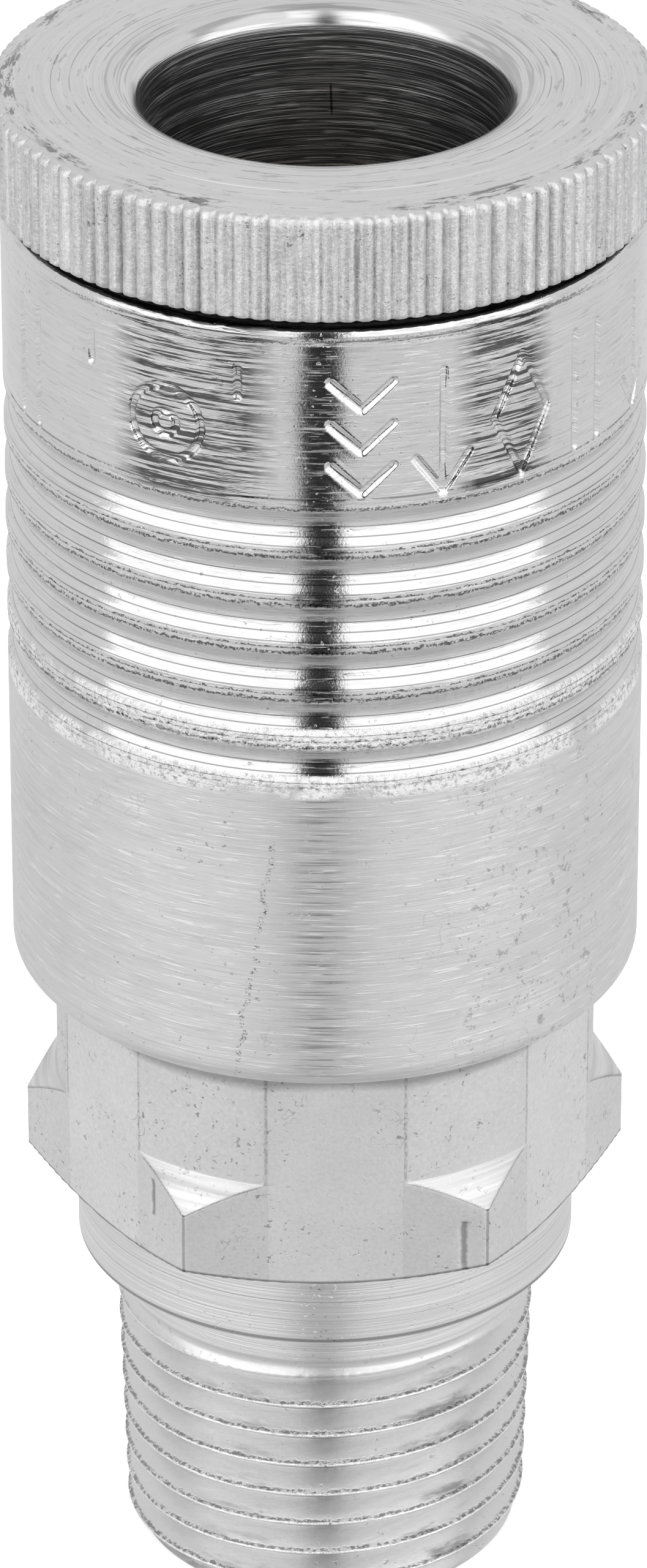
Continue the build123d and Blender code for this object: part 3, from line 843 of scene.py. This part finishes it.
def make_adapter_body():
    """Collar, hexagon and neck as one surface: at each height and angle the smaller of the turned
    radius and the distance to the hexagon's flat."""
    angle = ring_angles(720)
    turn = (angle - math.pi / 2 + math.pi / 6) % (math.pi / 3) - math.pi / 6
    flat_r = HEX_APOTHEM / np.cos(turn)
    thread_r = THREAD_START_R + THREAD_TAPER * THREAD_TOP
    rows = [(thread_r, THREAD_TOP), (thread_r, 16.2), (thread_r, COLLAR_BOTTOM - 0.02),
            (thread_r + 0.05, COLLAR_BOTTOM)]
    rows += arc_rows(COLLAR_R - 0.3, COLLAR_BOTTOM + 0.3, 0.3, -88, 0, 6)
    rows += [(COLLAR_R, z) for z in np.linspace(COLLAR_BOTTOM + 0.6, HEX_BOTTOM - 0.26, 18)]
    rows += [(COLLAR_R - 0.1, HEX_BOTTOM - 0.18), (COLLAR_R - 0.1, HEX_BOTTOM)]
    first_hex = len(rows)
    chamfer = np.linspace(HEX_APOTHEM, HEX_CORNER, 10)
    rows += [(r, HEX_BOTTOM + (r - HEX_APOTHEM) * HEX_CHAMFER) for r in chamfer]
    rows += [(HEX_CORNER, z) for z in np.linspace(22.2, SHOULDER, 14)]
    rows += [(HEX_CORNER - t, SHOULDER + SHOULDER_SLOPE * t)
             for t in np.linspace(0.04, HEX_CORNER - NECK_R, 18)]
    rows += [(NECK_R, z) for z in np.linspace(27.15, ADAPTER_TOP - 0.3, 30)]
    rows += [(NECK_R - 0.25, ADAPTER_TOP)]
    last_hex = len(rows)
    rows += [(SOCKET_R, ADAPTER_TOP), (SOCKET_R, 38.0), (SOCKET_R, SOCKET_FLOOR)]
    rows += [(GUIDE_R, SOCKET_FLOOR), (GUIDE_R, GUIDE_FLOOR)]
    rows += [(SPRING_R, GUIDE_FLOOR), (SPRING_R, SPRING_FLOOR)]
    rows += [(AIRWAY_R, AIRWAY_TOP), (AIRWAY_R, 12.0), (AIRWAY_R, 0.0), (THREAD_END_R, 0.0)]
    radius, height = spin(rows, angle)
    zone = slice(first_hex, last_hex)
    softness = 0.03
    gap = flat_r - radius[zone]
    radius[zone] = radius[zone] + 0.5 * (gap - np.sqrt(gap * gap + softness ** 2))
    in_flat = np.clip(gap / -0.1, 0, 1)
    radius[zone] += in_flat * 0.003 * smooth_noise(angle, height[zone], 31, 40, 3)
    for azimuth, low, high in DENTS:
        away = np.degrees(angle + math.pi / 2 - math.radians(azimuth) + math.pi) % 360 - 180
        dent = np.exp(-(away / 0.75) ** 2)
        ends = np.minimum(height[zone] - low, high - height[zone])
        radius[zone] -= 0.10 * dent * np.clip(ends / 0.2, 0, 1)
    return lay_grid("adapter_body", radius, height, angle, loop=False, sharp=28)


def thread_profile(phase):
    """Depth below the crest at a phase of one pitch, as a share of the full depth: narrow flat
    crest, straight flanks a little over 30 degrees, narrow root."""
    return np.clip((np.abs((phase % 1) - 0.5) * 2 - 0.09) / 0.84, 0, 1)


def make_thread():
    """The taper thread as a grid that winds with the helix, so that crest and root follow rows. What
    lies past either end is drawn together into the end's edge and merged there."""
    columns = 480
    turns = int(THREAD_TOP / THREAD_PITCH) + 3
    rows = turns * THREAD_STEPS
    phase = np.arange(rows)[:, None] / THREAD_STEPS
    angle = np.linspace(0, 2 * math.pi, columns + 1)[None, :]
    height = (phase - 1.5 + angle / (2 * math.pi)) * THREAD_PITCH
    depth = thread_profile(phase + 0 * angle)
    ragged = smooth_noise(angle, phase * 3, 5, 160, 6)
    crest_r = THREAD_START_R + THREAD_TAPER * height
    fade = np.clip((THREAD_TOP - height) / 1.7, 0, 1)
    radius = crest_r - THREAD_ROOT * depth * fade
    near_crest = np.clip(1 - depth * 4, 0, 1) * (height < THREAD_TOP - 0.6)
    radius -= near_crest * 0.012 * np.clip(ragged, -0.3, 2)
    lead_r = THREAD_END_R + np.clip(height / THREAD_CHAMFER, 0, 1) * 0.64
    radius = np.where(height < THREAD_CHAMFER, np.minimum(radius, lead_r), radius)
    radius = np.where(height <= 0, THREAD_END_R, radius)
    radius = np.where(height >= THREAD_TOP, THREAD_START_R + THREAD_TAPER * THREAD_TOP, radius)
    points = cylinder_points(radius, np.clip(height, 0.0, THREAD_TOP), angle)
    corner = np.arange(rows - 1)[:, None] * (columns + 1) + np.arange(columns)[None, :]
    above = corner + columns + 1
    quads = np.stack([corner, corner + 1, above + 1, above], axis=-1).reshape(-1, 4)
    mesh = bpy.data.meshes.new("pipe_thread")
    mesh.from_pydata(points.tolist(), [], quads.tolist())
    work = bmesh.new()
    work.from_mesh(mesh)
    bmesh.ops.remove_doubles(work, verts=work.verts, dist=0.002 * MM)
    work.to_mesh(mesh)
    work.free()
    return add_piece("pipe_thread", mesh, sharp=30)


def body_look(bench, x, y, z):
    """The drawn bar's matte plated skin on flats and neck; collar and shoulder are turned, brighter
    and lined. Thin dark lines along the edges and in the corner under the hexagon are painted shade;
    dents and hairlines are darkened too. The flats' middles are painted lighter and the neck under the
    sleeve carries a painted shadow."""
    point = bench.vector(x, y, z)
    out = from_axis(x, y)
    turn = front_angle(x, y)
    from_flat = turn.math("PINGPONG", 30.0)
    cone_at = HEX_CORNER - (z - SHOULDER) * (1 / SHOULDER_SLOPE)
    shoulder = (out > cone_at - 0.05) * bench.between(z, SHOULDER - 0.02, 27.0, 0.05)
    collar = bench.ramp(z, HEX_BOTTOM - 0.12, HEX_BOTTOM, 1.0, 0.0)
    machined = shoulder.math("MAXIMUM", collar)
    along = z + out * 0.83
    rings = tool_lines(bench, x, y, along, 9.0)
    broad = tool_lines(bench, x, y, along, 2.4, 0.10)
    cloud = bench.noise(point, 0.25, 4.0, 0.6)
    grain = bench.noise(point, 4.5, 3.0, 0.65)
    wobble = (bench.noise(point, 1.6, 3.0, 0.7) - 0.5) * 0.9
    pit = specks(bench, point, 3.4, 0.63)
    hair = hairlines(bench, x, y, z, 0.45, 0.58)
    on_neck = bench.between(z, 27.0, 34.0, 0.05)
    # Painted shade: thin dark lines along the neck's flat edges, the hexagon's corners and lower edge,
    # the collar's bottom edge and the shoulder's edge.
    neck_edge = bench.line(from_flat + wobble, 14.7, 0.9) * on_neck * bench.ramp(grain, 0.40, 0.55)
    hex_edge = bench.line(from_flat, 30.0, 0.9) * bench.between(z, HEX_BOTTOM, SHOULDER, 0.05)
    rim_z = HEX_BOTTOM + (out - HEX_APOTHEM) * HEX_CHAMFER
    painted_shade_under_hex = bench.line(z - rim_z, 0.02, 0.30) * (out > COLLAR_R + 0.2) * (z < 22.6)
    painted_shade_under_hex = painted_shade_under_hex + bench.line(z, COLLAR_BOTTOM + 0.28, 0.26)
    shoulder_edge = bench.line(out - cone_at, -0.05, 0.10) * bench.between(z, SHOULDER - 0.2, 26.8, 0.1)
    dent = sum(bench.line(turn + wobble, azimuth, 1.6) * bench.between(z, low, high, 0.1)
               for azimuth, low, high in DENTS)
    dark_line = bench.line(z, 19.7, 0.10) + bench.line(z, 18.6, 0.08)
    # The edge lines are painted shade; the dents and hairlines mixed in here are real marks.
    dirt_and_painted_edge_shade = neck_edge * 0.30 + hex_edge * 0.40 + painted_shade_under_hex * 0.55 + shoulder_edge * 0.35
    dirt_and_painted_edge_shade = dirt_and_painted_edge_shade + dent * 0.45
    dirt_and_painted_edge_shade = dirt_and_painted_edge_shade + dark_line * 0.22 + hair * (1.0 - machined) * 0.30
    # Painted shadow of the sleeve: everything on the adapter body between 32.8 and 44 mm is darkened by
    # up to 0.45.
    painted_sleeve_shadow = bench.between(z, 32.8, 44.0, 0.5) * 0.45
    # Painted light: the middle of each flat is 0.06 lighter, to offset the dark reflection there.
    flat_middle_painted_light = (1.0 - machined) * bench.ramp(from_flat, 12, 30, 1.0, 0.0) * (out < NECK_R - 0.03)
    flat_shade = 0.75 + flat_middle_painted_light * 0.06 + (cloud - 0.5) * 0.10 + (grain - 0.5) * 0.24 - pit * 0.34
    turned_shade = 0.82 + (rings - 0.5) * (0.40 + shoulder * 0.6)
    turned_shade = turned_shade + (broad - 0.5) * 0.20 - shoulder * 0.06
    shade = flat_shade * (1.0 - machined) + turned_shade * machined
    shade = shade * (1.0 - dirt_and_painted_edge_shade.math("MINIMUM", 0.8)) * (1.0 - painted_sleeve_shadow)
    roughness = 0.56 - machined * 0.20 + (cloud - 0.5) * 0.10 + pit * 0.1
    roughness = roughness - bench.ramp(grain, 0.60, 0.70) * 0.2
    relief = ((rings - 0.5) * 1.1 + (broad - 0.5) * 0.6) * machined
    relief = relief + (grain - 0.5) * 0.5 * (1.0 - machined) - pit * 0.9 - dirt_and_painted_edge_shade
    return shade, roughness, relief


def thread_look(bench, x, y, z):
    """Smooth grey flanks with a few smears; the crests are torn, with a dark broken line of painted shade
    along each and a bright painted highlight beneath it; the roots are darkened as painted shade."""
    point = bench.vector(x, y, z)
    out = from_axis(x, y)
    full_turn = y.math("ARCTAN2", x) * (1 / (2 * math.pi))
    torn = (bench.noise(point, 1.8, 4.0, 0.7) - 0.5) * 0.12
    winding = z / THREAD_PITCH - full_turn + 0.5
    place = (winding + torn).math("FRACT") - 0.5
    cut = bench.ramp(z, THREAD_TOP - 1.0, THREAD_TOP - 1.4)
    # Painted shade: a dark broken line just above each crest, and darker roots further down.
    upper = bench.line(place, 0.075, 0.10) * cut
    # Painted highlight: a bright line along each crest.
    lower = bench.line(place, -0.015, 0.085) * cut
    root = bench.ramp(THREAD_START_R + z * THREAD_TAPER - out, 0.95, 1.18) * cut
    rings = tool_lines(bench, x, y, z + out * 0.83, 7.0)
    broad = tool_lines(bench, x, y, z + out * 0.83, 2.0, 0.2)
    grain = bench.noise(point, 4.0, 3.0, 0.65)
    pit = specks(bench, point, 3.0, 0.66)
    speckle = bench.ramp(grain, 0.42, 0.56)
    turn = front_angle(x, y)
    smear = bench.between(turn, 26, 40, 10) * 0.50 + bench.between(turn, -34, -22, 10) * 0.30
    smear = smear * bench.ramp(tool_lines(bench, x, y, z, 2.6, 0.30, 3.0, 0.7), 0.44, 0.60)
    smear = smear * bench.between(place, 0.08, 0.18, 0.12) * cut
    blank = bench.ramp(z, THREAD_TOP - 0.9, THREAD_TOP - 0.3)
    shade = 0.80 + (rings - 0.5) * 0.22 * (0.4 + blank) + (grain - 0.5) * 0.10 - pit * 0.2
    shade = shade * (1.0 - upper * speckle * 0.62) * (1.0 - root * 0.30)
    shade = shade * (1.0 - smear) + lower * 0.25
    roughness = 0.30 + blank * 0.08 + (broad - 0.5) * 0.15 - lower * 0.12
    relief = (rings - 0.5) * 0.4 + (grain - 0.5) * 0.25 - pit * 0.5 + (lower * 0.8 - upper) * speckle
    return shade, roughness, relief


adapter_body = make_adapter_body()
adapter_body.data.materials.append(metal("adapter_zinc", body_look))
pipe_thread = make_thread()
pipe_thread.data.materials.append(metal("thread_zinc", thread_look))
for piece in (adapter_body, pipe_thread):
    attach(piece, "core")
    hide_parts("rear_adapter")


# ---------------------------------------------------------------------------------------------
# Inside: lock balls, springs, washer, seals and the check valve. They keep their CAD shapes and
# take the finish of drawn wire, hardened steel, brass, rubber or nylon.
# ---------------------------------------------------------------------------------------------
def plain_finish(name, colour, metallic, rough, grain):
    material = bpy.data.materials.new(name)
    material.use_nodes = True
    bench = Bench(material.node_tree)
    x, y, z = bench.place()
    point = bench.vector(x, y, z)
    cloud = bench.noise(point, 0.6, 3.0, 0.6)
    fleck = bench.noise(point, 6.0, 3.0, 0.6)
    dark = tuple(channel * 0.72 for channel in colour[:3]) + (1.0,)
    tint = bench.mix(bench.ramp(cloud, 0.35, 0.65), dark, colour)
    normal = bench.node("Bump", inputs={"Strength": 0.4, "Distance": 0.05 * MM, "Height": fleck * grain})
    shader = bench.node("BsdfPrincipled", inputs={
        "Base Color": tint, "Metallic": metallic, "Normal": normal,
        "Roughness": rough + (cloud - 0.5) * 0.15})
    bench.surface(shader)
    return material


# Finish name, colour, metallic, roughness and grain, then the nodes that have it.
INSIDE = {
    ("spring_wire", (0.50, 0.50, 0.49, 1.0), 1.0, 0.30, 0.5): [
        "sleeve_spring", "valve_spring", "seat_clip"],
    ("plated_washer", (0.70, 0.70, 0.69, 1.0), 1.0, 0.30, 0.6): ["spring_washer", "valve_seat"],
    ("polished_ball", (0.82, 0.82, 0.82, 1.0), 1.0, 0.10, 0.1): [f"lock_ball_{n}" for n in range(1, 7)],
    ("turned_brass", (0.78, 0.58, 0.30, 1.0), 1.0, 0.28, 0.5): [
        "valve_poppet", "valve_cap", "valve_guide"],
    ("nitrile", (0.025, 0.025, 0.025, 1.0), 0.0, 0.55, 0.8): ["plug_seal", "valve_seal"],
    ("nylon", (0.80, 0.78, 0.70, 1.0), 0.0, 0.45, 0.4): ["barrel_gasket"],
}
for finish, nodes in INSIDE.items():
    material = plain_finish(*finish)
    for node in nodes:
        for material_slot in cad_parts[node].material_slots:
            material_slot.material = material
